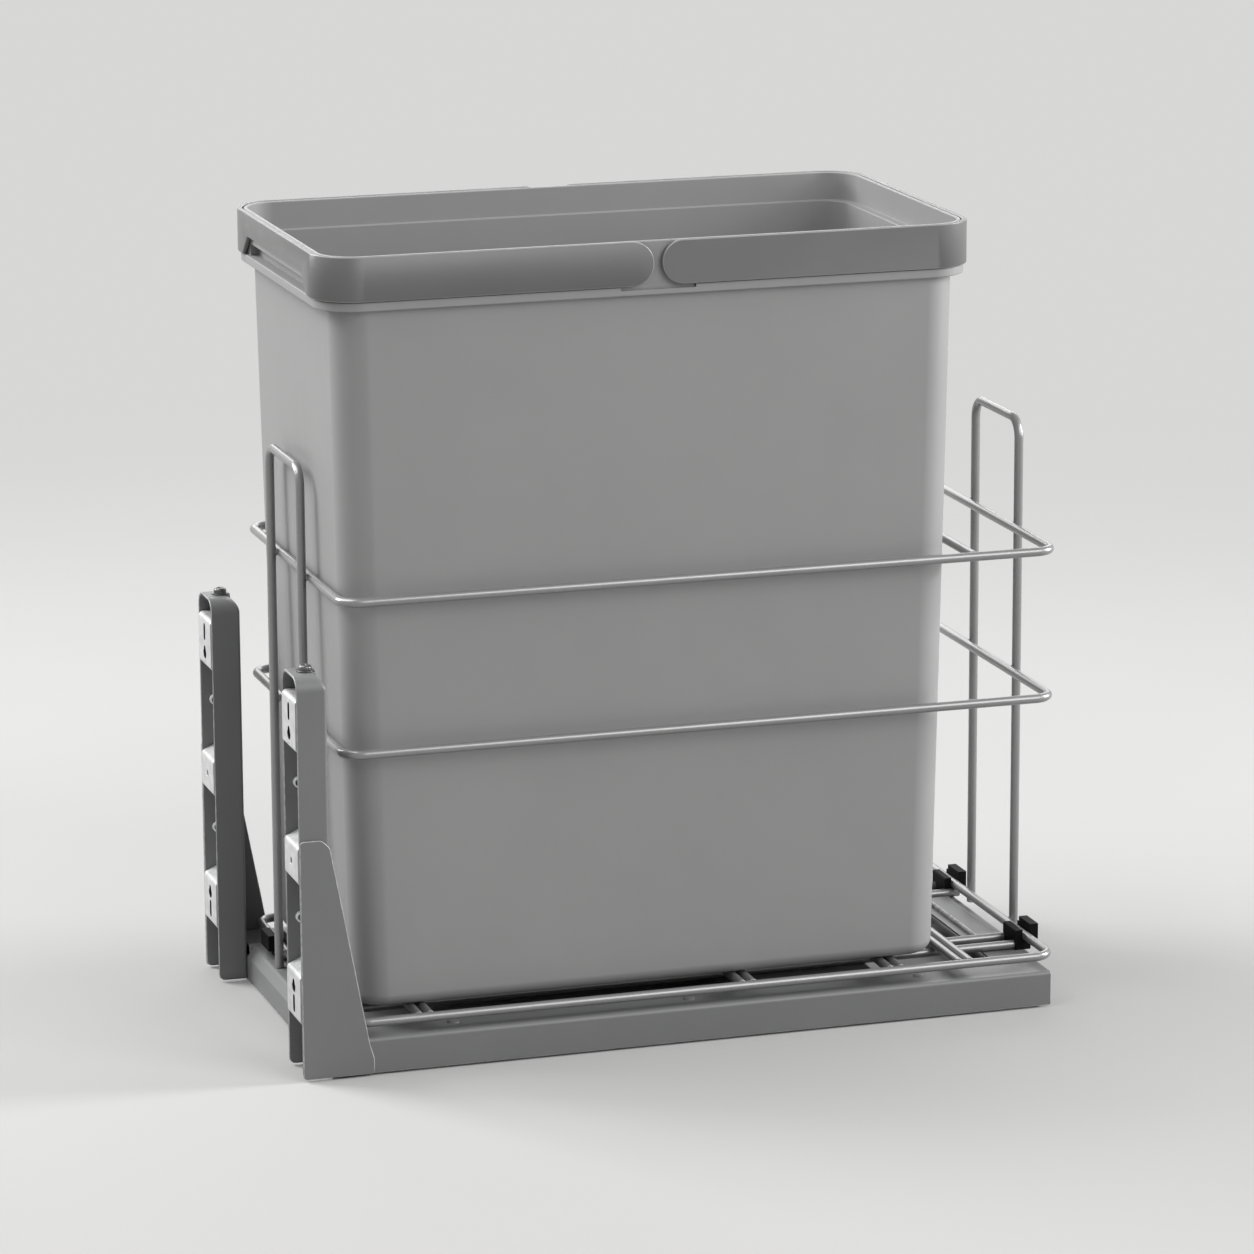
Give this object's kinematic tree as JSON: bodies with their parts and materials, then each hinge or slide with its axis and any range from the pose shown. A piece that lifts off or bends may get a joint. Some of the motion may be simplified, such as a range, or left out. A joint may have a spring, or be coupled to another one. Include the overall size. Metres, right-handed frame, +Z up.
{
  "type": "pull-out bin frame",
  "caption": "Bottom-mounted pull-out waste bin unit: a wire cage on ball-bearing runners, height-adjustable door brackets, and a tapered lift-out bin with fold-up bails.",
  "frame": {"origin": "centre of the overall footprint, on the cabinet floor under the fixed runner members", "axes": "+Z up; -Y towards the door, the way the frame pulls out; X across, the mirror plane is X = 0"},
  "size_m": [0.2514, 0.4912, 0.4934],
  "materials": {
    "coated_sheet": "grey powder coat, satin",
    "wire_finish": "silver-grey coat, satin",
    "zinc_plate": "bright zinc plate",
    "runner_steel": "zinc plate",
    "ball_steel": "polished",
    "bin_plastic": "fine-grained matt grey",
    "bail_plastic": "satin dark grey",
    "clip_plastic": "black, satin"
  },
  "bodies": {
    "fixed_members": {"cabinet_member_right": "runner_steel", "cabinet_member_left": "runner_steel"},
    "sledge": {"front_cross_bar": "coated_sheet", "middle_cross_member": "coated_sheet", "rear_cross_member": "coated_sheet", "upper_ring": "wire_finish", "lower_ring": "wire_finish", "basket_rim": "wire_finish", "ring_cross_wire": "wire_finish", "front_upright": "wire_finish", "rear_upright": "wire_finish", "basket_long_wires": "wire_finish", "basket_cross_wires": "wire_finish", "side_channel_right": "coated_sheet", "side_channel_left": "coated_sheet", "door_bracket_right": "coated_sheet", "door_bracket_left": "coated_sheet", "gusset_right": "coated_sheet", "gusset_left": "coated_sheet", "screw_washer_right": "zinc_plate", "screw_washer_left": "zinc_plate", "guide_studs_right": "zinc_plate", "guide_studs_left": "zinc_plate", "runner_rivets_right": "runner_steel", "runner_rivets_left": "runner_steel", "sledge_member_right": "runner_steel", "sledge_member_left": "runner_steel", "rim_clip_front_right": "clip_plastic", "rim_clip_front_left": "clip_plastic", "rim_clip_rear_right": "clip_plastic", "rim_clip_rear_left": "clip_plastic"},
    "outer_cage_right": {"outer_ball_cage_right": "runner_steel", "outer_balls_right": "ball_steel"},
    "middle_member_body_right": {"middle_member_right": "runner_steel"},
    "inner_cage_right": {"inner_ball_cage_right": "runner_steel", "inner_balls_right": "ball_steel"},
    "outer_cage_left": {"outer_ball_cage_left": "runner_steel", "outer_balls_left": "ball_steel"},
    "middle_member_body_left": {"middle_member_left": "runner_steel"},
    "inner_cage_left": {"inner_ball_cage_left": "runner_steel", "inner_balls_left": "ball_steel"},
    "height_adjuster_right": {"height_screw_right": "zinc_plate", "screw_retainer_right": "zinc_plate"},
    "rail_right": {"adjusting_rail_right": "zinc_plate"},
    "height_adjuster_left": {"height_screw_left": "zinc_plate", "screw_retainer_left": "zinc_plate"},
    "rail_left": {"adjusting_rail_left": "zinc_plate"},
    "bin": {"bin_body": "bin_plastic"},
    "front_bail_body": {"front_bail": "bail_plastic"},
    "rear_bail_body": {"rear_bail": "bail_plastic"}
  },
  "joints": [
    {"name": "drawer_slide", "type": "slide", "parent": "fixed_members", "child": "sledge", "axis": [0, -1, 0], "range_m": [0, 0.45]},
    {"name": "outer_cage_slide_right", "type": "slide", "parent": "fixed_members", "child": "outer_cage_right", "axis": [0, -1, 0], "range_m": [0, 0.1125]},
    {"name": "middle_member_slide_right", "type": "slide", "parent": "fixed_members", "child": "middle_member_body_right", "axis": [0, -1, 0], "range_m": [0, 0.225]},
    {"name": "inner_cage_slide_right", "type": "slide", "parent": "fixed_members", "child": "inner_cage_right", "axis": [0, -1, 0], "range_m": [0, 0.3375]},
    {"name": "outer_cage_slide_left", "type": "slide", "parent": "fixed_members", "child": "outer_cage_left", "axis": [0, -1, 0], "range_m": [0, 0.1125]},
    {"name": "middle_member_slide_left", "type": "slide", "parent": "fixed_members", "child": "middle_member_body_left", "axis": [0, -1, 0], "range_m": [0, 0.225]},
    {"name": "inner_cage_slide_left", "type": "slide", "parent": "fixed_members", "child": "inner_cage_left", "axis": [0, -1, 0], "range_m": [0, 0.3375]},
    {"name": "height_screw_turn_right", "type": "hinge", "parent": "sledge", "child": "height_adjuster_right", "pos_m": [0.1067, -0.235, 0.2475], "axis": [0, 0, -1], "range_deg": [-1500, 1500]},
    {"name": "rail_height_right", "type": "slide", "parent": "sledge", "child": "rail_right", "axis": [0, 0, 1], "range_m": [-0.0028, 0.0028]},
    {"name": "height_screw_turn_left", "type": "hinge", "parent": "sledge", "child": "height_adjuster_left", "pos_m": [-0.1067, -0.235, 0.2475], "axis": [0, 0, -1], "range_deg": [-1500, 1500]},
    {"name": "rail_height_left", "type": "slide", "parent": "sledge", "child": "rail_left", "axis": [0, 0, 1], "range_m": [-0.0028, 0.0028]},
    {"name": "bin_lift", "type": "slide", "parent": "sledge", "child": "bin", "axis": [0, 0, 1], "range_m": [0, 0.345]},
    {"name": "front_bail_turn", "type": "hinge", "parent": "bin", "child": "front_bail_body", "pos_m": [0, -0.03275, 0.47995], "axis": [-1, 0, 0], "range_deg": [0, 90]},
    {"name": "rear_bail_turn", "type": "hinge", "parent": "bin", "child": "rear_bail_body", "pos_m": [0, -0.00085, 0.47995], "axis": [1, 0, 0], "range_deg": [0, 90]}
  ],
  "couplings": [
    {"joint": "outer_cage_slide_right", "follows": "drawer_slide", "ratio": 0.25},
    {"joint": "middle_member_slide_right", "follows": "drawer_slide", "ratio": 0.5},
    {"joint": "inner_cage_slide_right", "follows": "drawer_slide", "ratio": 0.75},
    {"joint": "outer_cage_slide_left", "follows": "drawer_slide", "ratio": 0.25},
    {"joint": "middle_member_slide_left", "follows": "drawer_slide", "ratio": 0.5},
    {"joint": "inner_cage_slide_left", "follows": "drawer_slide", "ratio": 0.75},
    {"joint": "height_screw_turn_right", "follows": "rail_height_right", "rad_per_m": 8976},
    {"joint": "height_screw_turn_left", "follows": "rail_height_left", "rad_per_m": 8976}
  ]
}
